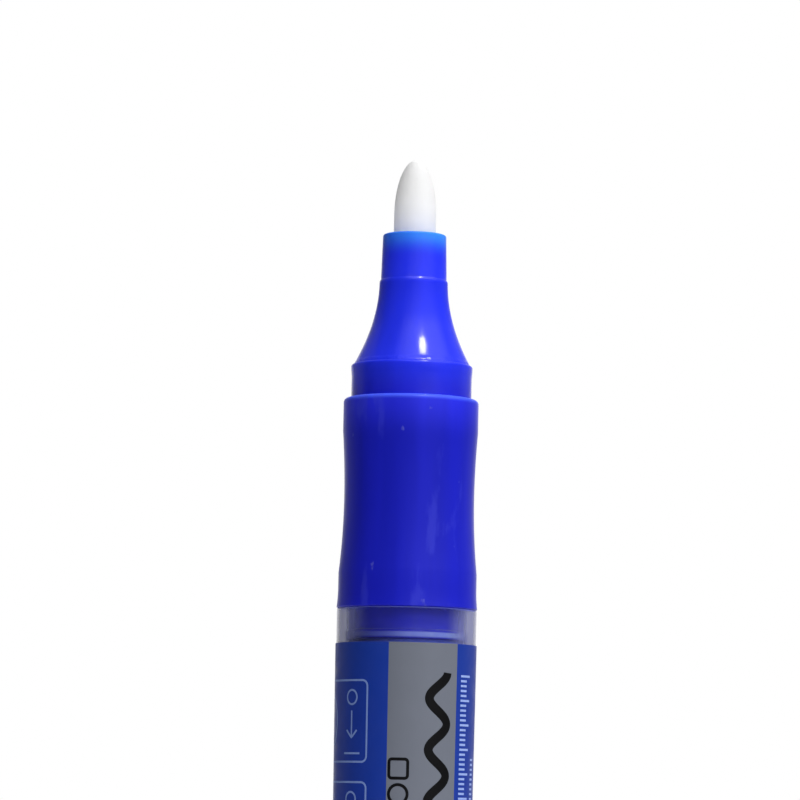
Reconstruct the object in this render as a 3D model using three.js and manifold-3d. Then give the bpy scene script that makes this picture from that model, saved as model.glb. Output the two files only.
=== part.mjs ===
// Refillable whiteboard marker: push-nib valve, replaceable ink cartridge, cap posted on the rear.
// Millimetres, +Z towards the nib. The origin is the centre of the cap's closed end, on which it stands.

import * as THREE from 'three';
import { mergeVertices } from 'three/addons/utils/BufferGeometryUtils.js';
import Module from 'manifold-3d';

const wasm = await Module();
wasm.setup();

// Fineness of round surfaces
const shellSegments = 40;
const innerSegments = 32;
const filletSteps = 3;

// Clearances shared by all the fits
const seatGap = 0.05;
const slideFit = 0.05;
const pressFit = 0.03;
const looseFit = 0.1;

// Nib
const nibRadius = 2.55;
const nibExposed = 9.2;
const nibDomeHeight = 6.7;
const nibDomeSteps = 6;
const nibChamfer = 0.3;

// Nose cone
const nibBoreClearance = 0.07;
const collarWall = 1.23;
const collarLength = 5.8;
const collarDraft = 0.14;
const collarRimFillet = 0.25;
const collarStepWidth = 0.16;
const collarStepHeight = 0.3;
const flareLength = 10.15;
const flareBulge = 5.3;
const flareSteps = 8;
const capSeatLength = 4.15;
const capLipProud = 0.08;
const capLipHeight = 1.5;
const capLipFillet = 0.3;
const chamberNeckHeight = 9.5;
const chamberBulge = 4.5;
const chamberNeckSlack = 0.4;
const chamberSteps = 5;
const noseSpigotWall = 1.27;
const spigotChamfer = 0.3;
const ventGrooveCount = 4;
const ventGrooveWidth = 0.7;
const ventGrooveDepth = 0.35;
const ventGrooveRun = 3.8;

// Grip section
const gripLength = 25.4;
const gripTopInset = 0.3;
const gripTopBand = 4;
const gripRimFillet = 0.5;
const gripWaistDepth = 0.315;
const gripWaistDrop = 8.9;
const gripHeelProud = 0.165;
const gripHeelBand = 2.1;
const gripFlareHeight = 2.2;
const gripEdgeFillet = 0.12;
const gripCurveSteps = 5;
const capShoulderWidth = 0.89;
const counterboreDepth = 1;
const noseSkirtStep = 0.875;
const socketDepth = 13.2;
const ledgeWidth = 0.9;
const spigotLength = 10;
const beadProud = 0.35;
const beadRamp = 0.15;
const beadRise = 0.85;
const upperBeadDrop = 3.3;
const lowerBeadDrop = 8.4;

// Barrel and label
const barrelLength = 62.8;
const barrelTopRadius = 8.465;
const barrelTaper = 0.465;
const barrelWall = 1.165;
const boreTaper = 0.2;
const snapGrooveDepth = 0.15;
const snapGrooveSlack = 0.2;
const windowHeight = 4.2;
const labelRearInset = 3;
const labelGap = 0.02;
const labelThickness = 0.06;

// Rear plug
const postLength = 10;
const postFillet = 0.8;
const plugFlangeThickness = 2;
const plugFlangeChamfer = 0.25;
const plugSpigotLength = 8;
const plugWall = 1.1;
const plugEndWall = 1.5;

// Valve
const tubeDrainGap = 0.7;
const tubeWall = 1;
const tubeOverhang = 6;
const plateThickness = 2;
const bossRadius = 3;
const bossHeight = 1;
const bossSlotWidth = 1.2;
const bossSlotDepth = 0.7;
const orificeRadius = 1.9;
const gasketThickness = 1;
const washerBoreRadius = 1.7;
const washerThickness = 1.5;
const stemRodRadius = 1.1;
const stemFlangeGap = 0.6;
const stemFlangeThickness = 1.5;
const stemTailLength = 6.1;
const nibTravel = 2.5;
const travelEndGap = 0.2;
const cupFloor = 1.3;
const cupDepth = 3.2;
const cupWall = 0.98;
const cupSlotWidth = 1.4;
const springLength = 10.9;
const springInset = 0.2;
const springWire = 0.5;
const springTurns = 7;
const springEndPitch = 0.98;
const springStepsPerTurn = 8;
const springSides = 5;
const retainerThickness = 2;
const retainerRim = 1.6;
const retainerBarWidth = 0.9;
const retainerBarHeight = 1.2;

// Ink cartridge
const cartridgeClearance = 0.4;
const cartridgeWall = 0.8;
const cartridgeFloor = 1;
const cartridgeFillet = 0.8;
const cartridgeFreeSpace = 8.3;
const cartridgeTopGap = 0.3;
const cartridgeRimProud = 0.2;
const cartridgeRimHeight = 1.2;
const mouthSealFlange = 1;
const mouthSealDepth = 5;
const mouthSealGroove = 0.25;
const mouthSealLip = 0.8;
const inkHeadspace = 2.8;

// Cap
const capTaper = 0.45;
const capEndWall = 1.6;
const capEndFillet = 1;
const capMouthFillet = 0.25;
const capEndRecess = 5.35;
const capRecessLedge = 1;
const capMouthBoreDepth = 16;
const capBoreStep = 0.65;
const capBoreRamp = 0.6;
const nibAirGap = 1.2;
const capSealBase = 2.5;
const capSealFlange = 1.3;
const capSealWall = 0.8;
const capSealRimGap = 0.4;
const capSealRimChamfer = 0.25;
const clipWidth = 4.2;
const clipThickness = 1.5;
const clipGap = 1.7;
const clipRootHeight = 2;
const clipRootLength = 5;
const clipLength = 31;
const clipBeadLength = 4;
const clipBeadGap = 0.35;
const clipSink = 1;

// Radii that follow from the sizes above, from the outside in
const gripTopRadius = barrelTopRadius - gripTopInset;
const capSeatRadius = gripTopRadius - capShoulderWidth;
const capLipRadius = capSeatRadius + capLipProud;
const socketRadius = capSeatRadius - noseSkirtStep;
const gripBoreRadius = socketRadius - ledgeWidth;
const tubeRadius = gripBoreRadius - tubeDrainGap;
const tubeBoreRadius = tubeRadius - tubeWall;
const noseSpigotRadius = socketRadius - pressFit;
const chamberRadius = noseSpigotRadius - noseSpigotWall;
const plateRadius = socketRadius - looseFit;
const nibBoreRadius = nibRadius + nibBoreClearance;
const collarTopRadius = nibBoreRadius + collarWall;
const collarBaseRadius = collarTopRadius + collarDraft;
const flareNeckRadius = collarBaseRadius + collarStepWidth;
const barrelBoreTopRadius = barrelTopRadius - barrelWall;
const barrelBoreRearRadius = barrelBoreTopRadius - boreTaper;
const barrelRearRadius = barrelTopRadius - barrelTaper;
const beadRadius = barrelBoreTopRadius - slideFit;
const spigotRadius = beadRadius - beadProud;
const plugSpigotRadius = barrelBoreRearRadius - pressFit;
const plugHollowRadius = plugSpigotRadius - plugWall;
const capBoreRadius = capLipRadius + slideFit;
const postRadius = capBoreRadius - slideFit;
const capInnerRadius = capBoreRadius - capBoreStep;
const capSealRadius = capInnerRadius - slideFit;
const capSealBoreRadius = collarBaseRadius + slideFit;
const cartridgeRadius = barrelBoreRearRadius - cartridgeClearance;
const cartridgeBoreRadius = cartridgeRadius - cartridgeWall;
const mouthSealRadius = cartridgeBoreRadius - pressFit;
const mouthSealBoreRadius = tubeRadius + slideFit;
const cupBoreRadius = nibRadius + nibBoreClearance;
const cupRadius = cupBoreRadius + cupWall;
const stemFlangeRadius = tubeBoreRadius - stemFlangeGap;
const springRadius = stemFlangeRadius - springInset;
const retainerRadius = tubeBoreRadius - pressFit;

// Heights that follow from the sizes above, from the standing face up
const beadHeight = beadRamp + beadRise;
const nibReach = capSeatLength + flareLength + collarLength + nibExposed;
const capSealHeight = capEndWall + capEndRecess + seatGap;
const capLength = capSealHeight + capSealBase + nibAirGap + nibReach;
const plugFlangeHeight = capLength + seatGap;
const barrelRear = plugFlangeHeight + plugFlangeThickness + seatGap;
const barrelTop = barrelRear + barrelLength;
const gripBottom = barrelTop + seatGap;
const gripTop = gripBottom + gripLength;
const nibTip = gripTop + nibReach;
const plateBottom = gripTop - socketDepth + seatGap;
const plateTop = plateBottom + plateThickness;
const gasketBottom = plateTop + seatGap;
const noseSpigotEnd = gasketBottom + gasketThickness + seatGap;
const cupBottom = plateTop + bossHeight + travelEndGap + nibTravel;
const nibRear = cupBottom + cupFloor + seatGap;
const washerBottom = plateBottom - seatGap - washerThickness;
const stemFlangeBottom = washerBottom - seatGap - stemFlangeThickness;
const springBottom = stemFlangeBottom - seatGap - springLength;
const retainerBottom = springBottom - seatGap - retainerThickness;
const tubeEnd = gripBottom - spigotLength - tubeOverhang;
const mouthSealHeight = gripBottom - spigotLength - cartridgeTopGap - mouthSealFlange;
const cartridgeTop = mouthSealHeight - seatGap;
const cartridgeBottom = barrelRear + plugSpigotLength + cartridgeFreeSpace;
const inkBottom = cartridgeBottom + cartridgeFloor + seatGap;
const inkTop = mouthSealHeight - mouthSealDepth - inkHeadspace;

const marker = new THREE.Group();

// Points [radius, height] along an arc
function arc(centreRadius, centreHeight, radius, startDegrees, endDegrees) {
  const points = [];
  for (let step = 0; step <= filletSteps; step += 1) {
    const degrees = startDegrees + ((endDegrees - startDegrees) * step) / filletSteps;
    const angle = THREE.MathUtils.degToRad(degrees);
    points.push([centreRadius + radius * Math.cos(angle), centreHeight + radius * Math.sin(angle)]);
  }
  return points;
}

// Points [radius, height] along a parabola that leaves start towards control and ends at end
function bend(start, control, end, steps) {
  const corners = [start, control, end].map(([radius, height]) => new THREE.Vector2(radius, height));
  const curve = new THREE.QuadraticBezierCurve(...corners);
  return curve.getPoints(steps).map((point) => [point.x, point.y]);
}

// A turned piece: the outline runs anticlockwise in the plane of radius and height, and is closed here
function revolve(outline, segments) {
  const points = outline.map(([radius, height]) => new THREE.Vector2(Math.max(radius, 0), height));
  const first = points[0];
  if (first.x > 0) {
    points.push(first.clone());
  }
  const geometry = new THREE.LatheGeometry(points, segments);
  geometry.rotateX(Math.PI / 2);
  return geometry;
}

// A flat ring
function ring(innerRadius, outerRadius, thickness, segments) {
  const outline = [
    [innerRadius, 0],
    [outerRadius, 0],
    [outerRadius, thickness],
    [innerRadius, thickness],
  ];
  return revolve(outline, segments);
}

// Closed geometry as a solid for joining and cutting
function toSolid(geometry) {
  const bare = geometry.clone();
  bare.deleteAttribute('normal');
  bare.deleteAttribute('uv');
  const merged = mergeVertices(bare);
  const index = merged.index.array;
  const triangles = [];
  for (let i = 0; i < index.length; i += 3) {
    const [a, b, c] = index.slice(i, i + 3);
    if (a !== b && b !== c && c !== a) {
      triangles.push(a, b, c);
    }
  }
  const vertProperties = new Float32Array(merged.attributes.position.array);
  const triVerts = new Uint32Array(triangles);
  return new wasm.Manifold(new wasm.Mesh({ numProp: 3, vertProperties, triVerts }));
}

function fromSolid(solid) {
  const mesh = solid.getMesh();
  const geometry = new THREE.BufferGeometry();
  geometry.setAttribute('position', new THREE.BufferAttribute(mesh.vertProperties, 3));
  geometry.setIndex(new THREE.BufferAttribute(mesh.triVerts, 1));
  geometry.computeVertexNormals();
  return geometry;
}

function cut(body, cutters) {
  let solid = toSolid(body);
  for (const cutter of cutters) {
    solid = solid.subtract(toSolid(cutter));
  }
  return fromSolid(solid);
}

function join(body, additions) {
  let solid = toSolid(body);
  for (const addition of additions) {
    solid = solid.add(toSolid(addition));
  }
  return fromSolid(solid);
}

// Bars through the axis, evenly turned, as slots to cut or webs to add; count is the number of ends
function crossBars(length, width, bottom, top, count) {
  const bars = [];
  for (let i = 0; i < count / 2; i += 1) {
    const bar = new THREE.BoxGeometry(length, width, top - bottom);
    bar.translate(0, 0, (bottom + top) / 2);
    bar.rotateZ((i * 2 * Math.PI) / count);
    bars.push(bar);
  }
  return bars;
}

// Fibre bullet nib, from its rear end up
function makeNib() {
  const length = nibTip - nibRear;
  const shoulder = length - nibDomeHeight;
  const outline = [
    [0, 0],
    [nibRadius - nibChamfer, 0],
    [nibRadius, nibChamfer],
  ];
  for (let step = 0; step < nibDomeSteps; step += 1) {
    const angle = (step / nibDomeSteps) * (Math.PI / 2);
    outline.push([nibRadius * Math.cos(angle), shoulder + nibDomeHeight * Math.sin(angle)]);
  }
  outline.push([0, length]);
  return revolve(outline, innerSegments);
}

// Collar, flare and cap seat in one moulding; height 0 is the top of the grip
function makeNoseCone() {
  const spigotEnd = noseSpigotEnd - gripTop;
  const skirt = seatGap - counterboreDepth;
  const corner = capSeatLength;
  const collarBase = corner + flareLength;
  const collarTop = collarBase + collarLength;
  const flareRoot = [capLipRadius - capLipFillet, corner];
  const flareNeck = [flareNeckRadius, collarBase];
  const flareCurve = bend(flareRoot, [flareNeckRadius, corner + flareBulge], flareNeck, flareSteps);
  const chamberNeck = [nibBoreRadius, corner + chamberNeckHeight];
  const chamberTop = [chamberRadius, corner];
  const outline = [
    [chamberRadius, spigotEnd],
    [noseSpigotRadius - spigotChamfer, spigotEnd],
    [noseSpigotRadius, spigotEnd + spigotChamfer],
    [noseSpigotRadius, skirt],
    [capSeatRadius, skirt],
    [capSeatRadius, corner - capLipHeight],
    ...arc(capLipRadius - capLipFillet, corner - capLipFillet, capLipFillet, 0, 90),
    ...flareCurve.slice(1),
    [collarBaseRadius, collarBase + collarStepHeight],
    ...arc(collarTopRadius - collarRimFillet, collarTop - collarRimFillet, collarRimFillet, 0, 90),
    [nibBoreRadius, collarTop],
    ...bend(chamberNeck, [nibBoreRadius + chamberNeckSlack, corner + chamberBulge], chamberTop, chamberSteps),
  ];
  const grooveSpan = 2 * (nibBoreRadius + ventGrooveDepth);
  const grooveBottom = collarBase - ventGrooveRun;
  const grooveTop = collarTop + collarRimFillet;
  const grooves = crossBars(grooveSpan, ventGrooveWidth, grooveBottom, grooveTop, ventGrooveCount);
  return cut(revolve(outline, shellSegments), grooves);
}

// A low ring on the spigot, steep below and with a long ramp above, as outline points going up
function bead(drop) {
  const low = -drop - beadHeight / 2;
  return [
    [spigotRadius, low],
    [beadRadius, low + beadRamp],
    [spigotRadius, low + beadHeight],
  ];
}

// Waisted grip with the socket for the nose above and the push-fit spigot below; height 0 is its shoulder
function makeGripSection() {
  const heelRadius = gripTopRadius + gripHeelProud;
  const waistRadius = gripTopRadius - gripWaistDepth;
  const edgeRadius = barrelTopRadius;
  const heelTop = gripFlareHeight + gripHeelBand;
  const waist = heelTop + gripWaistDrop;
  const bandBottom = gripLength - gripTopBand;
  const ledge = gripLength - socketDepth;
  const counterboreRadius = capSeatRadius + slideFit;
  const lowerCurve = bend(
    [heelRadius, heelTop],
    [waistRadius, (heelTop + waist) / 2],
    [waistRadius, waist],
    gripCurveSteps,
  );
  const upperCurve = bend(
    [waistRadius, waist],
    [waistRadius, (waist + bandBottom) / 2],
    [gripTopRadius, bandBottom],
    gripCurveSteps,
  );
  const outline = [
    [gripBoreRadius, -spigotLength],
    [spigotRadius - spigotChamfer, -spigotLength],
    [spigotRadius, spigotChamfer - spigotLength],
    ...bead(lowerBeadDrop),
    ...bead(upperBeadDrop),
    [spigotRadius, 0],
    [edgeRadius - gripEdgeFillet, 0],
    [edgeRadius, gripEdgeFillet],
    [(edgeRadius + 2 * heelRadius) / 3, gripFlareHeight / 2],
    [heelRadius, gripFlareHeight],
    ...lowerCurve,
    ...upperCurve.slice(1),
    ...arc(gripTopRadius - gripRimFillet, gripLength - gripRimFillet, gripRimFillet, 0, 90),
    [counterboreRadius, gripLength],
    [counterboreRadius, gripLength - counterboreDepth],
    [socketRadius, gripLength - counterboreDepth],
    [socketRadius, ledge],
    [gripBoreRadius, ledge],
  ];
  return revolve(outline, shellSegments);
}

// Valve tube with its plate and slotted boss; height 0 is the plate's underside
function makeValveHousing() {
  const end = tubeEnd - plateBottom;
  const bossTop = plateThickness + bossHeight;
  const outline = [
    [tubeBoreRadius, end],
    [tubeRadius - spigotChamfer, end],
    [tubeRadius, end + spigotChamfer],
    [tubeRadius, 0],
    [plateRadius, 0],
    [plateRadius, plateThickness],
    [bossRadius, plateThickness],
    [bossRadius, bossTop],
    [orificeRadius, bossTop],
    [orificeRadius, 0],
    [tubeBoreRadius, 0],
  ];
  const slotTop = bossTop + bossSlotDepth;
  const slots = crossBars(4 * bossRadius, bossSlotWidth, bossTop - bossSlotDepth, slotTop, 4);
  return cut(revolve(outline, innerSegments), slots);
}

// Valve stem: slotted cup that carries the nib, rod, sealing flange and tail; height 0 is under the cup
function makeValveStem() {
  const flangeBottom = stemFlangeBottom - cupBottom;
  const flangeTop = flangeBottom + stemFlangeThickness;
  const tail = flangeBottom - stemTailLength;
  const rim = cupFloor + cupDepth;
  const outline = [
    [0, tail],
    [stemRodRadius - spigotChamfer, tail],
    [stemRodRadius, tail + spigotChamfer],
    [stemRodRadius, flangeBottom],
    [stemFlangeRadius, flangeBottom],
    [stemFlangeRadius, flangeTop],
    [stemRodRadius, flangeTop],
    [stemRodRadius, 0],
    [cupRadius - spigotChamfer, 0],
    [cupRadius, spigotChamfer],
    [cupRadius, rim],
    [cupBoreRadius, rim],
    [cupBoreRadius, cupFloor],
    [0, cupFloor],
  ];
  const slots = crossBars(4 * cupRadius, cupSlotWidth, cupFloor, rim + cupFloor, 4);
  return cut(revolve(outline, innerSegments), slots);
}

// Height of the spring's wire centre after a number of turns, with a closer pitch on both end turns
function springRise(turn) {
  const total = springLength - springWire;
  const middlePitch = (total - 2 * springEndPitch) / (springTurns - 2);
  const inner = Math.min(Math.max(turn - 1, 0), springTurns - 2);
  const ends = Math.min(turn, 1) + Math.max(turn - (springTurns - 1), 0);
  return springWire / 2 + ends * springEndPitch + inner * middlePitch;
}

// Compression spring: rings of points along one helix, joined into a single tube with closed ends
function makeValveSpring() {
  const steps = springTurns * springStepsPerTurn;
  const coilRadius = springRadius - springWire / 2;
  const positions = [];
  for (let step = 0; step <= steps; step += 1) {
    const turn = step / springStepsPerTurn;
    const angle = turn * 2 * Math.PI;
    for (let side = 0; side < springSides; side += 1) {
      const around = ((side + 0.5) / springSides) * 2 * Math.PI;
      const radius = coilRadius + (springWire / 2) * Math.cos(around);
      const height = springRise(turn) + (springWire / 2) * Math.sin(around);
      positions.push(radius * Math.cos(angle), radius * Math.sin(angle), height);
    }
  }
  const index = [];
  for (let step = 0; step < steps; step += 1) {
    for (let side = 0; side < springSides; side += 1) {
      const a = step * springSides + side;
      const b = step * springSides + ((side + 1) % springSides);
      index.push(a, a + springSides, b, b, a + springSides, b + springSides);
    }
  }
  const last = steps * springSides;
  for (let side = 1; side < springSides - 1; side += 1) {
    index.push(0, side, side + 1);
    index.push(last, last + side + 1, last + side);
  }
  const geometry = new THREE.BufferGeometry();
  geometry.setAttribute('position', new THREE.Float32BufferAttribute(positions, 3));
  geometry.setIndex(index);
  geometry.computeVertexNormals();
  return geometry;
}

// Least distance between points of the spring that lie at least half a turn apart
function leastSpringGap(geometry) {
  const points = geometry.attributes.position;
  const apart = (springStepsPerTurn / 2) * springSides;
  const from = new THREE.Vector3();
  const to = new THREE.Vector3();
  let least = Infinity;
  for (let i = 0; i < points.count; i += 1) {
    from.fromBufferAttribute(points, i);
    for (let j = i + apart; j < points.count; j += 1) {
      to.fromBufferAttribute(points, j);
      least = Math.min(least, from.distanceTo(to));
    }
  }
  return least;
}

// Ring with crossed bars, pressed into the valve tube under the spring
function makeSpringRetainer() {
  const rim = ring(retainerRadius - retainerRim, retainerRadius, retainerThickness, innerSegments);
  const span = 2 * retainerRadius - retainerRim;
  return join(rim, crossBars(span, retainerBarWidth, 0, retainerBarHeight, 4));
}

function barrelOuterRadius(height) {
  return barrelRearRadius + (barrelTaper * height) / barrelLength;
}

function barrelBoreRadius(height) {
  return barrelBoreRearRadius + (boreTaper * height) / barrelLength;
}

// Tapered barrel with a groove in its mouth that takes the grip's upper bead
function makeBarrelTube() {
  const grooveCentre = barrelLength + seatGap - upperBeadDrop;
  const grooveLow = grooveCentre - beadHeight / 2 - snapGrooveSlack;
  const grooveHigh = grooveCentre + beadHeight / 2 + snapGrooveSlack;
  const grooveRadius = barrelBoreTopRadius + snapGrooveDepth;
  const outline = [
    [barrelBoreRearRadius, 0],
    [barrelRearRadius, 0],
    [barrelTopRadius, barrelLength],
    [barrelBoreTopRadius, barrelLength],
    [barrelBoreRadius(grooveHigh), grooveHigh],
    [grooveRadius, grooveHigh - beadRamp],
    [grooveRadius, grooveLow + beadRamp],
    [barrelBoreRadius(grooveLow), grooveLow],
  ];
  return revolve(outline, shellSegments);
}

// Printed film sleeve round the barrel, which leaves the window bare
function makeLabelFilm() {
  const low = labelRearInset;
  const high = barrelLength - windowHeight;
  const innerLow = barrelOuterRadius(low) + labelGap;
  const innerHigh = barrelOuterRadius(high) + labelGap;
  const outline = [
    [innerLow, low],
    [innerLow + labelThickness, low],
    [innerHigh + labelThickness, high],
    [innerHigh, high],
  ];
  return revolve(outline, shellSegments);
}

// Hollow rear plug with the post that carries the cap; height 0 is the flange's underside
function makeRearPlug() {
  const spigotTop = plugFlangeThickness + plugSpigotLength;
  const outline = [
    [0, -postLength],
    ...arc(postRadius - postFillet, postFillet - postLength, postFillet, -90, 0),
    [postRadius, 0],
    [barrelRearRadius - plugFlangeChamfer, 0],
    [barrelRearRadius, plugFlangeChamfer],
    [barrelRearRadius, plugFlangeThickness],
    [plugSpigotRadius, plugFlangeThickness],
    [plugSpigotRadius, spigotTop - spigotChamfer],
    [plugSpigotRadius - spigotChamfer, spigotTop],
    [plugHollowRadius, spigotTop],
    [plugHollowRadius, plugEndWall - postLength],
    [0, plugEndWall - postLength],
  ];
  return revolve(outline, shellSegments);
}

// Cartridge cup with a pull rim; height 0 is its rear end
function makeInkCartridge() {
  const length = cartridgeTop - cartridgeBottom;
  const rimRadius = cartridgeRadius + cartridgeRimProud;
  const rimBottom = length - cartridgeRimHeight;
  const outline = [
    [0, 0],
    ...arc(cartridgeRadius - cartridgeFillet, cartridgeFillet, cartridgeFillet, -90, 0),
    [cartridgeRadius, rimBottom - cartridgeRimProud],
    [rimRadius, rimBottom],
    [rimRadius, length],
    [cartridgeBoreRadius, length],
    [cartridgeBoreRadius, cartridgeFloor],
    [0, cartridgeFloor],
  ];
  return revolve(outline, innerSegments);
}

// Rubber seal with two lips on the valve tube; height 0 is the underside of its flange
function makeMouthSeal() {
  const grooveRadius = mouthSealBoreRadius + mouthSealGroove;
  const outline = [
    [mouthSealBoreRadius, -mouthSealDepth],
    [mouthSealRadius, -mouthSealDepth],
    [mouthSealRadius, 0],
    [cartridgeRadius, 0],
    [cartridgeRadius, mouthSealFlange],
    [mouthSealBoreRadius, mouthSealFlange],
    [mouthSealBoreRadius, -mouthSealLip],
    [grooveRadius, -mouthSealLip - mouthSealGroove],
    [grooveRadius, mouthSealLip + mouthSealGroove - mouthSealDepth],
    [mouthSealBoreRadius, mouthSealLip - mouthSealDepth],
  ];
  return revolve(outline, innerSegments);
}

function makeInkCharge() {
  const radius = cartridgeBoreRadius - looseFit;
  const height = inkTop - inkBottom;
  const outline = [
    [0, 0],
    [radius, 0],
    [radius, height],
    [0, height],
  ];
  return revolve(outline, innerSegments);
}

// Side view of the pocket clip, from its root on the cap's side to the bead at its free end
function clipOutline() {
  const wall = gripTopRadius;
  const inner = wall + clipGap;
  const outer = inner + clipThickness;
  const root = wall - capTaper - clipSink;
  const rootTop = clipRootHeight + clipRootLength;
  const end = clipRootHeight + clipLength;
  const beadStart = end - clipBeadLength;
  const shape = new THREE.Shape();
  shape.moveTo(root, clipRootHeight);
  shape.lineTo(wall, clipRootHeight);
  shape.quadraticCurveTo(outer, clipRootHeight, outer, rootTop);
  shape.lineTo(outer, end - clipThickness);
  shape.quadraticCurveTo(outer, end, inner, end);
  shape.lineTo(inner, end - clipThickness / 2);
  shape.quadraticCurveTo(wall + clipBeadGap, (beadStart + end) / 2, inner, beadStart);
  shape.lineTo(inner, rootTop + clipThickness);
  shape.quadraticCurveTo(inner, rootTop, wall - clipSink / 2, rootTop);
  shape.lineTo(root, rootTop);
  return shape;
}

// Cap with a stepped bore, a ledge for its inner seal and a moulded clip; height 0 is its closed end
function makeCapShell() {
  const endRadius = gripTopRadius - capTaper;
  const stepTop = capLength - capMouthBoreDepth;
  const ledge = capEndWall + capEndRecess;
  const recessRadius = capInnerRadius - capRecessLedge;
  const outline = [
    [0, 0],
    ...arc(endRadius - capEndFillet, capEndFillet, capEndFillet, -90, 0),
    [gripTopRadius, capLength - capMouthFillet],
    [gripTopRadius - capMouthFillet, capLength],
    [capBoreRadius, capLength],
    [capBoreRadius, stepTop],
    [capInnerRadius, stepTop - capBoreRamp],
    [capInnerRadius, ledge],
    [recessRadius, ledge],
    [recessRadius, capEndWall],
    [0, capEndWall],
  ];
  const clip = new THREE.ExtrudeGeometry(clipOutline(), {
    depth: clipWidth,
    bevelEnabled: false,
    curveSegments: filletSteps + 1,
  });
  clip.translate(0, 0, -clipWidth / 2);
  clip.rotateX(Math.PI / 2);
  return join(revolve(outline, shellSegments), [clip]);
}

// Soft cup that closes over the collar when the marker is capped; height 0 is its base
function makeCapInnerSeal() {
  const cupRim = capLength - capSeatLength - flareLength - capSealRimGap - capSealHeight;
  const outerRadius = capSealBoreRadius + capSealWall;
  const outline = [
    [0, 0],
    [capSealRadius, 0],
    [capSealRadius, capSealFlange],
    [outerRadius, capSealBase],
    [outerRadius, cupRim],
    [capSealBoreRadius + capSealRimChamfer, cupRim],
    [capSealBoreRadius, cupRim - capSealRimChamfer],
    [capSealBoreRadius, capSealBase],
    [0, capSealBase],
  ];
  return revolve(outline, innerSegments);
}

// Name, shape, height above the standing face and look of each piece
function addPiece(name, geometry, height, color, roughness, metalness = 0) {
  const material = new THREE.MeshStandardMaterial({ color, roughness, metalness });
  const mesh = new THREE.Mesh(geometry, material);
  mesh.name = name;
  mesh.position.z = height;
  marker.add(mesh);
}

const gasket = ring(chamberRadius + looseFit, plateRadius - looseFit, gasketThickness, innerSegments);
const washer = ring(washerBoreRadius, tubeBoreRadius - looseFit, washerThickness, innerSegments);
const spring = makeValveSpring();

addPiece('nib', makeNib(), nibRear, 0xf3f3ef, 0.95);
addPiece('nose_cone', makeNoseCone(), gripTop, 0x2d35de, 0.32);
addPiece('grip_section', makeGripSection(), gripBottom, 0x2022a8, 0.4);
addPiece('valve_housing', makeValveHousing(), plateBottom, 0xdde3e8, 0.45);
addPiece('valve_seat_washer', washer, washerBottom, 0x2a2a2e, 0.8);
addPiece('valve_stem', makeValveStem(), cupBottom, 0xeae9e3, 0.4);
addPiece('valve_spring', spring, springBottom, 0xbcbfc4, 0.28, 1);
addPiece('spring_retainer', makeSpringRetainer(), retainerBottom, 0xeae9e3, 0.45);
addPiece('flange_gasket', gasket, gasketBottom, 0x2a2a2e, 0.8);
addPiece('barrel_tube', makeBarrelTube(), barrelRear, 0xb9bfdb, 0.3);
addPiece('label_film', makeLabelFilm(), barrelRear, 0x1d2f83, 0.3);
addPiece('rear_plug', makeRearPlug(), plugFlangeHeight, 0x2022a8, 0.4);
addPiece('ink_cartridge', makeInkCartridge(), cartridgeBottom, 0xd9dee6, 0.4);
addPiece('cartridge_mouth_seal', makeMouthSeal(), mouthSealHeight, 0x303036, 0.85);
addPiece('ink_charge', makeInkCharge(), inkBottom, 0x14195e, 0.2);
addPiece('cap_shell', makeCapShell(), 0, 0x2a30c8, 0.35);
addPiece('cap_inner_seal', makeCapInnerSeal(), capSealHeight, 0xe8ecf2, 0.5);

console.log(`valve spring: least gap to itself ${leastSpringGap(spring).toFixed(3)} mm`);

export default marker;
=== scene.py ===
"""Looks for the refillable whiteboard marker: finish of every piece, printed label, light, camera."""

import math

import bpy
from mathutils import Euler, Matrix, Vector


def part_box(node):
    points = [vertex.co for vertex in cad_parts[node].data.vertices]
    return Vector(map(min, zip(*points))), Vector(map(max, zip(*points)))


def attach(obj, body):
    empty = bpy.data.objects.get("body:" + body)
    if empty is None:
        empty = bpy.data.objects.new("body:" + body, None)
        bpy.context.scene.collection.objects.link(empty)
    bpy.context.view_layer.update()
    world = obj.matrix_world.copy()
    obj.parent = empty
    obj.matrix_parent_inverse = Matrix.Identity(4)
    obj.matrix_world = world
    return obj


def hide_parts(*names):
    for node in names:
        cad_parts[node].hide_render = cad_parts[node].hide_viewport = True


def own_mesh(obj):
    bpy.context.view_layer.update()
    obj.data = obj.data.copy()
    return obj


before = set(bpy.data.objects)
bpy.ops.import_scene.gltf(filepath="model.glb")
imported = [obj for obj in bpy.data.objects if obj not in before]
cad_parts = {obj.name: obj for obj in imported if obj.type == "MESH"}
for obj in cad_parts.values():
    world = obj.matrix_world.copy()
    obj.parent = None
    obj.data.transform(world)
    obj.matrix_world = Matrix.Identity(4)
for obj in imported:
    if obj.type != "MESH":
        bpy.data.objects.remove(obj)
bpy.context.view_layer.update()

MM = 0.001
BOXES = {name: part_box(name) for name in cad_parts}


def low(node):
    """Lowest height of a CAD node, in mm."""
    return BOXES[node][0].z / MM


def high(node):
    """Highest height of a CAD node, in mm."""
    return BOXES[node][1].z / MM


def radius(node):
    """Largest radius of a turned CAD node, in mm."""
    return BOXES[node][1].y / MM


# Camera, from the photograph: focal length in pixels, angles in degrees and places in mm
PHOTO_SIZE = 800
SENSOR = 36.0
FOCAL_PIXELS = 3986.0
CAMERA_PITCH = 5.882
CAMERA_ROLL = 1.231
CAMERA_DISTANCE = 480.0
CAMERA_HEIGHT = 80.84
CAMERA_SIDE = -1.362

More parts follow.
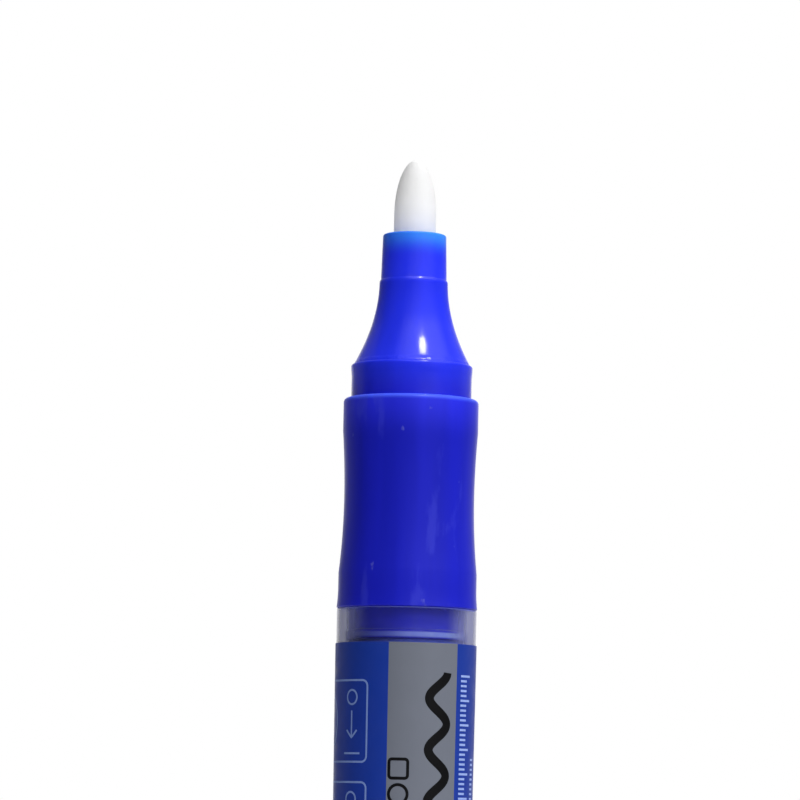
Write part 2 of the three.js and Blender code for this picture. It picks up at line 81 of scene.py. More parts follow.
# Sizes in mm that the nodes' boxes don't give, the same as in the part; a bare name is a radius
SEAT_GAP = 0.05
SLIDE_FIT = 0.05
CHAMFER = 0.3
NIB_BORE = 2.62
NIB_DOME = 6.7
NIB_CHAMFER = 0.3
COLLAR_LENGTH = 5.8
COLLAR_TOP = 3.85
COLLAR_BASE = 3.99
COLLAR_FILLET = 0.25
COLLAR_STEP = 0.3
FLARE_NECK = 4.15
FLARE_LENGTH = 10.15
FLARE_BULGE = 5.3
CAP_SEAT = 7.275
CAP_SEAT_LENGTH = 4.15
CAP_LIP_HEIGHT = 1.5
CAP_LIP_FILLET = 0.3
CHAMBER = 5.1
CHAMBER_NECK = 9.5
CHAMBER_BULGE = 4.5
CHAMBER_SPREAD = 0.4
NOSE_SPIGOT = 6.37
COUNTERBORE_DEPTH = 1.0
GROOVE_WIDTH = 0.7
GROOVE_DEPTH = 0.35
GROOVE_RUN = 3.8
GRIP_LENGTH = 25.4
GRIP_TOP = 8.165
GRIP_TOP_BAND = 4.0
GRIP_RIM_FILLET = 0.5
GRIP_WAIST_DEPTH = 0.315
GRIP_WAIST_DROP = 8.9
GRIP_HEEL_PROUD = 0.165
GRIP_HEEL_BAND = 2.1
GRIP_FLARE_HEIGHT = 2.2
GRIP_EDGE_FILLET = 0.12
GRIP_SOCKET = 6.4
GRIP_BORE = 5.5
SOCKET_DEPTH = 13.2
SPIGOT = 6.9
BEAD = 7.25
BEAD_HEIGHT = 1.0
BEAD_RAMP = 0.15
UPPER_BEAD = 3.3
LOWER_BEAD = 8.4
BARREL_BORE_TOP = 7.3
BARREL_BORE_REAR = 7.1
BARREL_REAR = 8.0
SNAP_GROOVE = 0.15
SNAP_SLACK = 0.2
LABEL_GAP = 0.02
PLUG_FLANGE = 2.0
PLUG_CHAMFER = 0.25
PLUG_SPIGOT = 7.07
PLUG_HOLLOW = 5.97
PLUG_END_WALL = 1.5
POST_LENGTH = 10.0
POST = 7.355
POST_FILLET = 0.8
TUBE = 4.8
TUBE_BORE = 3.8
PLATE_THICKNESS = 2.0
BOSS = 3.0
BOSS_HEIGHT = 1.0
BOSS_SLOT_WIDTH = 1.2
BOSS_SLOT_DEPTH = 0.7
ORIFICE = 1.9
GASKET_BORE = 5.2
WASHER_BORE = 1.7
SPRING_COIL = 2.75
SPRING_WIRE = 0.5
SPRING_TURNS = 7
SPRING_END_PITCH = 0.98
CARTRIDGE = 6.7
CARTRIDGE_BORE = 5.9
CARTRIDGE_FLOOR = 1.0
CARTRIDGE_FILLET = 0.8
CARTRIDGE_RIM_HEIGHT = 1.2
MOUTH_SEAL = 5.87
MOUTH_SEAL_BORE = 4.85
MOUTH_SEAL_FLANGE = 1.0
CAP_BORE = 7.405
CAP_BORE_DEPTH = 16.0
CAP_BORE_STEP = 0.65
CAP_BORE_RAMP = 0.6
CAP_TAPER = 0.45
CAP_END_WALL = 1.6
CAP_END_FILLET = 1.0
CAP_MOUTH_FILLET = 0.25
CAP_RECESS = 5.755
SEAL_BORE = 4.04
SEAL_CUP = 4.84
SEAL_BASE = 2.5
SEAL_FLANGE = 1.3
CLIP_WIDTH = 4.2
CLIP_THICKNESS = 1.5
CLIP_GAP = 1.7
CLIP_ROOT = 2.0
CLIP_ROOT_LENGTH = 5.0
CLIP_ROOT_SUNK = 1.0
CLIP_ARM_SUNK = 0.5
CLIP_LENGTH = 31.0
CLIP_BEAD_LENGTH = 4.0
CLIP_BEAD_GAP = 0.35

# Roundings and fine forms in mm that only the scene has; a ridge has a drop, a swell and a height
SPIGOT_RIDGES = ((2.55, 0.06, 0.28), (1.5, 0.03, 0.5))
BEAD_SOFT = 0.06
HEEL_SWELL = 0.02
RING_SOFT = 0.15
BARREL_LIP = 0.05
BARREL_LIP_FLAT = 0.12
LABEL_EDGE = 0.03
MOUTH_SEAL_SOFT = 0.2
INK_SOFT = 0.3
CUP_SOFT = 0.25
CLIP_SOFT = 0.3

# The film, 0.06 mm thick in the part, is thinner here, so that its print stays inside the part's outline
LABEL_THICKNESS = 0.045

# How far a cutting bar stands out past the edge that it cuts, in mm
CUT_PAST = 1.0

# Fineness of the smooth surfaces: sides around the axis, and steps of an arc or a curve
AROUND = 180
AROUND_LABEL = 360
AROUND_CARTRIDGE = 128
AROUND_INNER = 96
WIRE_STEPS = 40
WIRE_SIDES = 14
FILLET_STEPS = 8
SOFT_STEPS = 4
CURVE_STEPS = 28
SHARP_ANGLE = 35

# Grey stripe of the label, in degrees from the camera's side and positive to the right
STRIPE_LEFT = -14
STRIPE_RIGHT = 46

# The print, in mm along the film from the camera's side and in mm of height
PRINT_PROUD = 0.008
PRINT_BOTTOM = 52.0
STROKE_STEP = 0.25
WAVE_PLACE = 4.15
WAVE_SWING = 1.2
WAVE_PITCH = 6.1
WAVE_WIDTH = 1.14
WAVE_TOP = 97.2
WAVE_STEP = 0.15
SHAPES_PLACE = -0.65
SHAPES_TOP = 86.9
SHAPE_SIZE = 2.25
SHAPE_GAP = 0.75
SHAPE_LINE = 0.36
SHAPE_CORNER = 0.35
SCALE_LEFT = 7.6
SCALE_TOP = 96.9
SCALE_PITCH = 0.58
TICK_LINE = 0.26
LONG_TICK = 2.0
LONG_TICK_EVERY = 5
SHORT_TICK = 1.25
SECOND_SCALE_LEFT = 10.4
SECOND_SCALE_TOP = 87.6
SECOND_TICK = 0.9
FRAME_RIGHT = -4.75
FRAME_LEFT = -15.6
FRAME_TOPS = (96.15, 84.1, 72.05)
FRAME_HEIGHT = 9.65
FRAME_CORNER = 0.7
FRAME_LINE = 0.24
DRAWING_PLACE = -7.15
RING_DROP = 2.0
RING_SIZE = 1.7
ARROW_DROP = 3.6
ARROW_LENGTH = 3.2
ARROW_HEAD = 0.9
BAR_RISE = 1.0
BAR_PITCH = 0.6
BAR_LENGTH = 2.8
OVAL_PLACE = -12.35
OVAL_SIZE = (3.4, 5.6)
RULE_PLACES = (19.5, 28.4)
RULE_PITCH = 0.95
RULE_BLOCKS = ((96.9, 7, 14.0), (80.6, 5, 12.5), (65.8, 8, 13.5))
LAST_RULE = 0.6
RULE_RAG = 0.06

# Colour of the grip and the plug, as sRGB of 0 to 255
GRIP_COLOR = (27, 33, 189)

# Light of the room: where the sky is brightest, and ramps as start, end, first and last value
SKY_AZIMUTH = 36
SKY_ELEVATION = 50
SKY_RAMP = (0.55, 1.0, 0.0, 2.0)
SIDES_RAMP = (-0.6, 0.9, 0.03, 0.15)
BACK_RAMP = (0.1, 0.9, 0.0, 0.3)
SURROUND_RAMP = (0.0, 0.4, 0.0, 0.3)
BEHIND_RAMP = (0.82, 0.96, 0.0, 0.7)

# Height that the lamp looks at and measures of the floor, in mm
LAMP_AIM = 118
FLOOR_RADIUS = 420
FLOOR_SOLID = 110
FLOOR_LEVEL = -0.02
FLOOR_RINGS = 12
FLOOR_SIDES = 96


# Outlines in the plane of radius and height, in mm


def arc(centre, centre_height, size, start, end, steps=FILLET_STEPS):
    """Points of a round arc between two angles in degrees."""
    points = []
    for i in range(steps + 1):
        angle = math.radians(start + (end - start) * i / steps)
        points.append((centre + size * math.cos(angle), centre_height + size * math.sin(angle)))
    return points


def bend(start, control, end, steps=CURVE_STEPS):
    """Points of a curve that leaves and arrives in the direction of its control point."""
    points = []
    for i in range(steps + 1):
        t = i / steps
        a, b, c = (1 - t) ** 2, 2 * t * (1 - t), t**2
        points.append(tuple(a * p + b * q + c * r for p, q, r in zip(start, control, end)))
    return points


# Meshes


def on_ring(size, azimuth, height):
    """A point at an azimuth in degrees, 0 towards the camera and positive to the right."""
    angle = math.radians(azimuth)
    return (size * math.sin(angle), -size * math.cos(angle), height)


def shade(mesh, sharp=SHARP_ANGLE):
    """Smooth, but for edges over an angle in degrees."""
    mesh.shade_smooth()
    mesh.set_sharp_from_angle(angle=math.radians(sharp))


def new_object(name, verts, faces, sharp=SHARP_ANGLE):
    """A mesh object from points in mm."""
    mesh = bpy.data.meshes.new(name)
    mesh.from_pydata([Vector(v) * MM for v in verts], [], faces)
    mesh.validate()
    shade(mesh, sharp)
    obj = bpy.data.objects.new(name, mesh)
    bpy.context.scene.collection.objects.link(obj)
    return obj


def turned(name, outline, around=AROUND):
    """A turned solid from an anticlockwise outline, closed on itself or from axis to axis."""
    rows = []
    verts = []
    for size, height in outline:
        if size < 1e-6:
            rows.append([len(verts)] * around)
            verts.append((0, 0, height))
        else:
            rows.append(list(range(len(verts), len(verts) + around)))
            verts.extend(on_ring(size, 360 * j / around, height) for j in range(around))
    pairs = list(zip(rows, rows[1:]))
    if outline[0][0] > 1e-6:
        pairs.append((rows[-1], rows[0]))
    faces = []
    for lower, upper in pairs:
        for j in range(around):
            k = (j + 1) % around
            face = [lower[j], lower[k], upper[k], upper[j]]
            face = [v for i, v in enumerate(face) if v not in face[:i]]
            if len(face) > 2:
                faces.append(face)
    return new_object(name, verts, faces)


def block(name, length, width, bottom, top, turn):
    """A bar through the axis, turned by some degrees."""
    verts = []
    for z in (bottom, top):
        for x, y in ((-1, -1), (1, -1), (1, 1), (-1, 1)):
            point = Vector((x * length / 2, y * width / 2, z))
            verts.append(Matrix.Rotation(math.radians(turn), 3, "Z") @ point)
    faces = [(3, 2, 1, 0), (4, 5, 6, 7), (0, 1, 5, 4), (1, 2, 6, 5), (2, 3, 7, 6), (3, 0, 4, 7)]
    return new_object(name, verts, faces)


def settle(obj):
    """Turns the modifiers of an object into its mesh."""
    depsgraph = bpy.context.evaluated_depsgraph_get()
    mesh = bpy.data.meshes.new_from_object(obj.evaluated_get(depsgraph))
    obj.modifiers.clear()
    obj.data = mesh
    shade(mesh)


def combine(obj, others, operation):
    """Cuts the others out of an object, or joins them to it."""
    for other in others:
        modifier = obj.modifiers.new("combine", "BOOLEAN")
        modifier.operation = operation
        modifier.solver = "EXACT"
        modifier.object = other
    settle(obj)
    for other in others:
        bpy.data.objects.remove(other)


def soften(obj, width):
    """Small rounded edges, as a moulding has."""
    modifier = obj.modifiers.new("edges", "BEVEL")
    modifier.width = width * MM
    modifier.segments = 3
    modifier.limit_method = "ANGLE"
    modifier.angle_limit = math.radians(40)
    settle(obj)


def dress(obj, node, body, *materials):
    """The piece stands for a CAD node, moves with its body and wears the materials."""
    for material in materials:
        obj.data.materials.append(material)
    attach(obj, body)
    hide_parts(node)


def keep_node(name, material):
    """A CAD node whose shape is right gets its finish."""
    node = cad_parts[name]
    node.data.materials.clear()
    node.data.materials.append(material)


# Nodes of the materials and of the world


def add_node(tree, kind, **settings):
    node = tree.nodes.new(kind)
    for key, value in settings.items():
        setattr(node, key, value)
    return node


def maths(tree, operation, first, second):
    """The result of an operation on two outputs, or on an output and a number."""
    node = add_node(tree, "ShaderNodeMath", operation=operation)
    for socket, value in zip(node.inputs, (first, second)):
        if isinstance(value, (int, float)):
            socket.default_value = value
        else:
            tree.links.new(value, socket)
    return node.outputs["Value"]


def ramp(tree, value, start, end, first, last):
    """Goes smoothly from first to last while the value goes from start to end."""
    node = add_node(tree, "ShaderNodeMapRange", interpolation_type="SMOOTHSTEP")
    for socket, number in zip(node.inputs[1:5], (start, end, first, last)):
        socket.default_value = number
    tree.links.new(value, node.inputs["Value"])
    return node.outputs["Result"]


def linear(red, green, blue):
    """An sRGB colour of 0 to 255 as linear values."""
    values = []
    for channel in (red, green, blue):
        share = channel / 255
        values.append(share / 12.92 if share <= 0.04045 else ((share + 0.055) / 1.055) ** 2.4)
    return tuple(values)


class Look:
    """A material on one Principled shader, with a small kit for its procedural detail."""

    def __init__(self, name, color, roughness, **sockets):
        self.material = bpy.data.materials.new(name)
        self.material.use_nodes = True
        self.tree = self.material.node_tree
        self.shader = self.tree.nodes["Principled BSDF"]
        self.color = tuple(color)
        self.shader.inputs["Base Color"].default_value = (*color, 1)
        self.shader.inputs["Roughness"].default_value = roughness
        for socket, value in sockets.items():
            self.shader.inputs[socket.replace("_", " ")].default_value = value
        self.place = add_node(self.tree, "ShaderNodeTexCoord").outputs["Object"]

    def node(self, kind, **settings):
        return add_node(self.tree, kind, **settings)

    def link(self, output, socket):
        self.tree.links.new(output, socket)

    def drive(self, output, name):
        """Feeds a socket of the shader."""
        self.link(output, self.shader.inputs[name])

    def times(self, first, second):
        return maths(self.tree, "MULTIPLY", first, second)

    def plus(self, first, second):
        return maths(self.tree, "ADD", first, second)

    def power(self, value, exponent):
        return maths(self.tree, "POWER", value, exponent)

    def spread(self, value, start, end, first, last):
        return ramp(self.tree, value, start, end, first, last)

    def along(self, axis):
        """A coordinate of the row frame at rest, in metres."""
        split = self.node("ShaderNodeSeparateXYZ")
        self.link(self.place, split.inputs["Vector"])
        return split.outputs[axis]

    def height(self, bottom, top):
        """0 at the bottom and 1 at the top, in mm of the row frame at rest."""
        return self.spread(self.along("Z"), bottom * MM, top * MM, 0, 1)

    def band(self, start, full, fade, end):
        """1 between two heights, with soft ends, and 0 below the start and above the end."""
        return self.times(self.height(start, full), self.spread(self.height(fade, end), 0, 1, 1, 0))

    def noise(self, scale, detail=3.0, stretch=(1, 1, 1)):
        mapping = self.node("ShaderNodeMapping")
        mapping.inputs["Scale"].default_value = stretch
        self.link(self.place, mapping.inputs["Vector"])
        noise = self.node("ShaderNodeTexNoise")
        noise.inputs["Scale"].default_value = scale
        noise.inputs["Detail"].default_value = detail
        self.link(mapping.outputs["Vector"], noise.inputs["Vector"])
        return noise.outputs["Fac"]

    def mix(self, factor, first, second):
        """From the first colour to the second one; each is a tuple or an output."""
        mix = self.node("ShaderNodeMix", data_type="RGBA")
        self.link(factor, mix.inputs["Factor"])
        for socket, color in ((mix.inputs["A"], first), (mix.inputs["B"], second)):
            if isinstance(color, tuple):
                socket.default_value = (*color, 1)
            else:
                self.link(color, socket)
        return mix.outputs["Result"]

    def streak(self, color, scale, amount, stretch):
        """The colour slightly lighter and darker in patches."""
        tint = self.node("ShaderNodeHueSaturation")
        self.link(color, tint.inputs["Color"])
        value = self.spread(self.noise(scale, 3.0, stretch), 0.3, 0.7, 1 - amount, 1 + amount)
        self.link(value, tint.inputs["Value"])
        return tint.outputs["Color"]

    def scuff(self, color, scale, rarity, amount, pale, stretch):
        """Small sparse rubbed marks in a paler colour."""
        mask = self.spread(self.noise(scale, 5.0, stretch), rarity, rarity + 0.06, 0, amount)
        return self.mix(mask, color, pale)

    def mottle(self, scale, amount, stretch=(1, 1, 1)):
        """Slight lighter and darker patches of the base colour."""
        darker = tuple(c * (1 - amount) for c in self.color)
        lighter = tuple(min(c * (1 + amount), 1) for c in self.color)
        self.drive(self.mix(self.noise(scale, stretch=stretch), darker, lighter), "Base Color")

    def wear(self, scale, smooth, rough, stretch=(1, 1, 1)):
        """Roughness that varies with handling."""
        value = self.spread(self.noise(scale, 4.0, stretch), 0.35, 0.65, smooth, rough)
        self.drive(value, "Roughness")

    def bump(self, scale, distance, strength=0.3, stretch=(1, 1, 1), detail=3.0, mask=None):
        """Unevenness of some depth in mm, on top of any that is there; a mask limits it."""
        uneven = self.noise(scale, detail, stretch)
        bump = self.node("ShaderNodeBump")
        bump.inputs["Strength"].default_value = strength
        bump.inputs["Distance"].default_value = distance * MM
        self.link(self.times(uneven, mask) if mask else uneven, bump.inputs["Height"])
        normal = self.shader.inputs["Normal"]
        if normal.is_linked:
            self.link(normal.links[0].from_socket, bump.inputs["Normal"])
        self.link(bump.outputs["Normal"], normal)
        return bump.outputs["Normal"]


# Materials


def blue_plastic(name, color, roughness, glow, depth=0.5, gloss=0.28, **sockets):
    look = Look(
        name,
        color,
        roughness,
        Specular_IOR_Level=gloss,
        Subsurface_Weight=glow,
        Subsurface_Scale=depth * MM,
        Subsurface_Radius=(0.3, 0.6, 1.6),
        **sockets,
    )
    look.wear(260, roughness, roughness + 0.07, (1, 1, 0.4))
    look.bump(700, 0.01, 0.2)
    return look


def nose_material():
    """Bright blue, with a painted glow at the thin end, stronger to the right, where light would shine
    through, painted shade down the cap seat, and a glossy flare foot.
    """
    body = linear(38, 53, 238)
    look = blue_plastic(
        "nose_blue", body, 0.29, glow=0.3, depth=1.0, gloss=0.025, Coat_Roughness=0.14
    )
    top = high("nose_cone")
    seat = high("grip_section")
    corner = seat + CAP_SEAT_LENGTH
    neck = corner + FLARE_LENGTH
    step = neck + COLLAR_STEP
    # Painted light: the top of the collar glows pale cyan, more to the right, for light that would shine
    # through its thin wall.
    painted_side_light = look.spread(look.along("X"), -0.004, 0.001, 0.7, 1)
    painted_glow_mask = look.times(look.power(look.height(top - 4.0, top), 2.6), painted_side_light)
    shaded = look.mix(look.height(seat, corner), linear(37, 43, 210), body)
    painted_glow = look.mix(painted_glow_mask, shaded, linear(60, 142, 255))
    look.drive(look.streak(painted_glow, 240, 0.05, (1, 1, 0.15)), "Base Color")
    gloss = look.spread(look.height(corner + 3.5, corner + 7), 0, 1, 0.55, 0.2)
    edge = look.times(look.band(neck - 0.1, neck, step - 0.05, step + 0.1), 0.5)
    look.drive(look.plus(gloss, edge), "Coat Weight")
    look.bump(1300, 0.03, 0.4, (1, 1, 0.16), detail=2.0)
    flow = look.band(corner - 0.1, corner + 0.15, corner + 0.2, corner + 0.7)
    look.drive(look.bump(1900, 0.12, 0.5, detail=2.0, mask=flow), "Coat Normal")
    return look.material


def grip_material():
    """Deep blue, with painted light: paler towards the top, a painted highlight at the rim, a paler
    spigot, a pale band below the upper bead and a painted highlight on it; and rubbed marks.
    """
    body = linear(*GRIP_COLOR)
    look = blue_plastic("grip_blue", body, 0.3, glow=0.1, gloss=0.14)
    top = high("grip_section")
    base = top - GRIP_LENGTH
    bead = base - UPPER_BEAD - BEAD_HEIGHT / 2
    crest = bead + BEAD_RAMP
    bead_top = bead + BEAD_HEIGHT
    # Painted light: the grip turns paler towards its top, and paler still on the rim, a painted
    # highlight.
    band = look.mix(look.height(top - 5.6, top), body, linear(40, 46, 224))
    rim = look.mix(look.height(top - 0.75, top - 0.1), band, linear(70, 96, 250))
    # Painted light: the spigot, seen through the tube, is paler and bluer than the body.
    spigot = look.mix(look.height(base - 0.05, base + 0.05), linear(31, 38, 226), rim)
    # Painted light: a pale band below the upper bead lifts the shadow that the bead casts.
    painted_light_below_bead = look.band(bead - 1.3, bead - 0.9, bead - 0.08, bead + 0.02)
    painted_below_bead = look.mix(painted_light_below_bead, spigot, linear(104, 126, 255))
    # Painted highlight on the upper bead, brighter to the right, where it faces the lamp.
    painted_highlight_side = look.spread(look.along("X"), -0.004, 0.003, 0.35, 0.9)
    painted_bead_highlight = look.times(look.band(crest, crest + 0.25, bead_top - 0.25, bead_top), painted_highlight_side)
    # The pale colour mixed in here is the painted highlight of the bead.
    rubbed = look.mix(painted_bead_highlight, painted_below_bead, linear(156, 178, 255))
    streaked = look.streak(rubbed, 260, 0.08, (1, 1, 0.07))
    smeared = look.scuff(streaked, 230, 0.58, 0.22, linear(74, 82, 216), (1, 1, 0.3))
    scuffed = look.scuff(smeared, 640, 0.7, 0.36, linear(120, 124, 200), (1, 1, 0.6))
    look.drive(scuffed, "Base Color")
    look.bump(2600, 0.005, 0.2)
    return look.material


def nib_material():
    """White fibre, with a faint glow that stands for the light that passes through it."""
    look = Look(
        "nib_fibre",
        (0.885, 0.885, 0.882),
        0.95,
        Specular_IOR_Level=0.15,
        Subsurface_Weight=1.0,
        Subsurface_Scale=14.0 * MM,
        Subsurface_Radius=(1.0, 1.0, 1.0),
    )
    top = high("nib")
    through = look.spread(look.height(top - 9.2, top - 1), 0, 1, 0.15, 0.045)
    look.drive(through, "Emission Strength")
    look.mottle(5200, 0.03, (1, 1, 0.12))
    look.bump(6000, 0.03, 0.35, (1, 1, 0.15))
    look.bump(3000, 0.02, 0.2)
    return look.material


def clear_material():
    """Milky tube, denser where it is seen through more wall, with a painted glow at the top rim: a thin
    bluish line, denser there.
    """
    look = Look("natural_polypropylene", linear(126, 131, 184), 0.2, Specular_IOR_Level=0.4)
    facing = look.node("ShaderNodeLayerWeight").outputs["Facing"]
    milky = look.spread(facing, 0.16, 0.6, 0.05, 0.68)
    thin = look.spread(facing, 0.62, 0.92, 0, -0.2)
    top = high("barrel_tube")
    # Painted light: a thin bluish, denser line at the top rim glows for light carried along the wall.
    rim = look.height(top - 0.2, top - 0.1)
    look.drive(look.mix(rim, look.color, linear(112, 122, 214)), "Base Color")
    dense = look.plus(look.plus(milky, thin), look.spread(rim, 0, 1, 0, 0.12))
    look.drive(dense, "Alpha")
    look.wear(300, 0.16, 0.24, (1, 1, 3))
    look.bump(600, 0.012, 0.2, (1, 1, 3))
    return look.material


def film_material(name, color):
    look = Look(name, color, 0.42, Specular_IOR_Level=0.25)
    look.mottle(420, 0.04)
    look.wear(500, 0.38, 0.48)
    look.bump(900, 0.008, 0.2)
    return look.material


def print_material(name, color, roughness):
    look = Look(name, color, roughness, Specular_IOR_Level=0.15)
    look.mottle(2600, 0.12)
    look.bump(3000, 0.006, 0.2)
    return look.material


def rubber_material():
    look = Look("black_rubber", (0.022, 0.022, 0.026), 0.75)
    look.wear(900, 0.65, 0.85)
    look.bump(2500, 0.02, 0.35)
    return look.material


def steel_material():
    look = Look("spring_steel", (0.62, 0.63, 0.65), 0.24, Metallic=1.0)
    look.wear(1500, 0.18, 0.34, (1, 1, 5))
    look.bump(4000, 0.006, 0.25, (1, 1, 6))
    return look.material


def acetal_material():
    look = Look(
        "white_acetal",
        (0.83, 0.82, 0.78),
        0.4,
        Subsurface_Weight=0.2,
        Subsurface_Scale=0.8 * MM,
    )
    look.mottle(500, 0.03)
    look.bump(1400, 0.01, 0.25)
    return look.material


def natural_material(name, alpha=1.0, color=(0.72, 0.75, 0.79)):
    look = Look(
        name,
        color,
        0.38,
        Alpha=alpha,
        Subsurface_Weight=0.3,
        Subsurface_Scale=1.0 * MM,
    )
    look.mottle(350, 0.04)
    look.wear(400, 0.32, 0.45)
    look.bump(1000, 0.012, 0.25)
    return look.material


def ink_material():
    look = Look("blue_ink", linear(20, 28, 150), 0.12)
    look.mottle(200, 0.1)
    look.bump(150, 0.02, 0.2)
    return look.material


def cap_material():
    look = blue_plastic("cap_blue", linear(30, 36, 208), 0.29, glow=0.12)
    look.mottle(180, 0.03)
    return look.material


NOSE_BLUE = nose_material()
GRIP_BLUE = grip_material()
NIB_FIBRE = nib_material()
CLEAR_TUBE = clear_material()
RUBBER = rubber_material()
STEEL = steel_material()
ACETAL = acetal_material()
HOUSING_WHITE = natural_material("housing_polypropylene")
CARTRIDGE_SKIN = natural_material("cartridge_polypropylene", 0.14, (0.55, 0.6, 0.74))
SEAL_POLYTHENE = natural_material("seal_polythene")
INK = ink_material()
CAP_BLUE = cap_material()
PLUG_BLUE = blue_plastic("plug_blue", linear(*GRIP_COLOR), 0.3, glow=0.1).material
FILM_BLUE = film_material("film_blue", linear(22, 54, 152))
FILM_GREY = film_material("film_grey", linear(109, 114, 126))
PRINT_BLACK = print_material("print_black", linear(8, 8, 11), 0.4)
PRINT_PALE = print_material("print_pale", linear(150, 172, 232), 0.45)
PRINT_LINE = print_material("print_line", linear(120, 144, 205), 0.45)


# Front section


def make_nib():
    bottom = low("nib")
    size = radius("nib")
    shoulder = high("nib") - NIB_DOME
    outline = [(0, bottom), (size - NIB_CHAMFER, bottom), (size, bottom + NIB_CHAMFER)]
    for i in range(CURVE_STEPS):
        angle = math.pi / 2 * i / CURVE_STEPS
        outline.append((size * math.cos(angle), shoulder + NIB_DOME * math.sin(angle)))
    outline.append((0, high("nib")))
    dress(turned("nib_smooth", outline), "nib", "nib_unit", NIB_FIBRE)


def make_nose_cone():
    base = high("grip_section")
    bottom = low("nose_cone")
    lip = radius("nose_cone")
    corner = base + CAP_SEAT_LENGTH
    collar_base = corner + FLARE_LENGTH
    top = collar_base + COLLAR_LENGTH
    skirt = base + SEAT_GAP - COUNTERBORE_DEPTH
    lip_curve = bend(
        (CAP_SEAT, corner - CAP_LIP_HEIGHT),
        (lip, corner - CAP_LIP_HEIGHT / 2),
        (lip, corner - CAP_LIP_FILLET),
        FILLET_STEPS,
    )
    flare = bend(
        (lip - CAP_LIP_FILLET, corner),
        (FLARE_NECK, corner + FLARE_BULGE),
        (FLARE_NECK, collar_base),
    )
    chamber = bend(
        (NIB_BORE, corner + CHAMBER_NECK),
        (NIB_BORE + CHAMBER_SPREAD, corner + CHAMBER_BULGE),
        (CHAMBER, corner),
    )
    outline = [
        (CHAMBER, bottom),
        (NOSE_SPIGOT - CHAMFER, bottom),
        (NOSE_SPIGOT, bottom + CHAMFER),
        (NOSE_SPIGOT, skirt),
        (CAP_SEAT, skirt),
        *lip_curve,
        *arc(lip - CAP_LIP_FILLET, corner - CAP_LIP_FILLET, CAP_LIP_FILLET, 0, 90)[1:],
        *flare[1:],
        ((FLARE_NECK + COLLAR_BASE) / 2, collar_base + COLLAR_STEP / 2),
        (COLLAR_BASE, collar_base + COLLAR_STEP),
        *arc(COLLAR_TOP - COLLAR_FILLET, top - COLLAR_FILLET, COLLAR_FILLET, 0, 90),
        (NIB_BORE, top),
        *chamber,
    ]
    cone = turned("nose_cone_smooth", outline)
    span = 2 * (NIB_BORE + GROOVE_DEPTH)
    grooves = [
        block("groove", span, GROOVE_WIDTH, collar_base - GROOVE_RUN, top + CUT_PAST, turn)
        for turn in (0, 90)
    ]
    combine(cone, grooves, "DIFFERENCE")
    dress(cone, "nose_cone", "front_section", NOSE_BLUE)


def bead_outline(base, drop):
    """A ring on the spigot, steep below and with a long ramp above, going up."""
    bottom = base - drop - BEAD_HEIGHT / 2
    return [
        (SPIGOT, bottom),
        (BEAD - BEAD_SOFT, bottom + BEAD_RAMP - BEAD_SOFT),
        (BEAD - BEAD_SOFT / 4, bottom + BEAD_RAMP - BEAD_SOFT / 4),
        (BEAD - BEAD_SOFT / 4, bottom + BEAD_RAMP + BEAD_SOFT / 2),
        (BEAD - BEAD_SOFT, bottom + BEAD_RAMP + 3 * BEAD_SOFT),
        (SPIGOT, bottom + BEAD_HEIGHT),
    ]


def ridge_outline(base, drop, swell, tall):
    """A faint moulded ring on the spigot, going up."""
    return [
        (SPIGOT, base - drop - tall / 2),
        (SPIGOT + swell, base - drop),
        (SPIGOT, base - drop + tall / 2),
    ]


def make_grip():
    top = high("grip_section")
    base = top - GRIP_LENGTH
    end = low("grip_section")
    edge = radius("grip_section")
    heel = GRIP_TOP + GRIP_HEEL_PROUD
    heel_bottom = base + GRIP_FLARE_HEIGHT
    heel_top = heel_bottom + GRIP_HEEL_BAND
    waist = GRIP_TOP - GRIP_WAIST_DEPTH
    waist_height = heel_top + GRIP_WAIST_DROP
    band = top - GRIP_TOP_BAND
    ledge = top - SOCKET_DEPTH
    counterbore = CAP_SEAT + SLIDE_FIT
    foot = bend(
        (edge, base + GRIP_EDGE_FILLET),
        (heel + HEEL_SWELL, base + GRIP_FLARE_HEIGHT / 2),
        (heel, heel_bottom),
        FILLET_STEPS,
    )
    outline = [
        (GRIP_BORE, end),
        (SPIGOT - CHAMFER, end),
        (SPIGOT, end + CHAMFER),
        *bead_outline(base, LOWER_BEAD),
        *bead_outline(base, UPPER_BEAD),
        *(point for ridge in SPIGOT_RIDGES for point in ridge_outline(base, *ridge)),
        (SPIGOT, base),
        (edge - GRIP_EDGE_FILLET, base),
        *foot,
        *bend((heel, heel_top), (waist, (heel_top + waist_height) / 2), (waist, waist_height)),
        *bend((waist, waist_height), (waist, (waist_height + band) / 2), (GRIP_TOP, band))[1:],
        *arc(GRIP_TOP - GRIP_RIM_FILLET, top - GRIP_RIM_FILLET, GRIP_RIM_FILLET, 0, 90),
        (counterbore, top),
        (counterbore, top - COUNTERBORE_DEPTH),
        (GRIP_SOCKET, top - COUNTERBORE_DEPTH),
        (GRIP_SOCKET, ledge),
        (GRIP_BORE, ledge),
    ]
    dress(turned("grip_smooth", outline), "grip_section", "front_section", GRIP_BLUE)


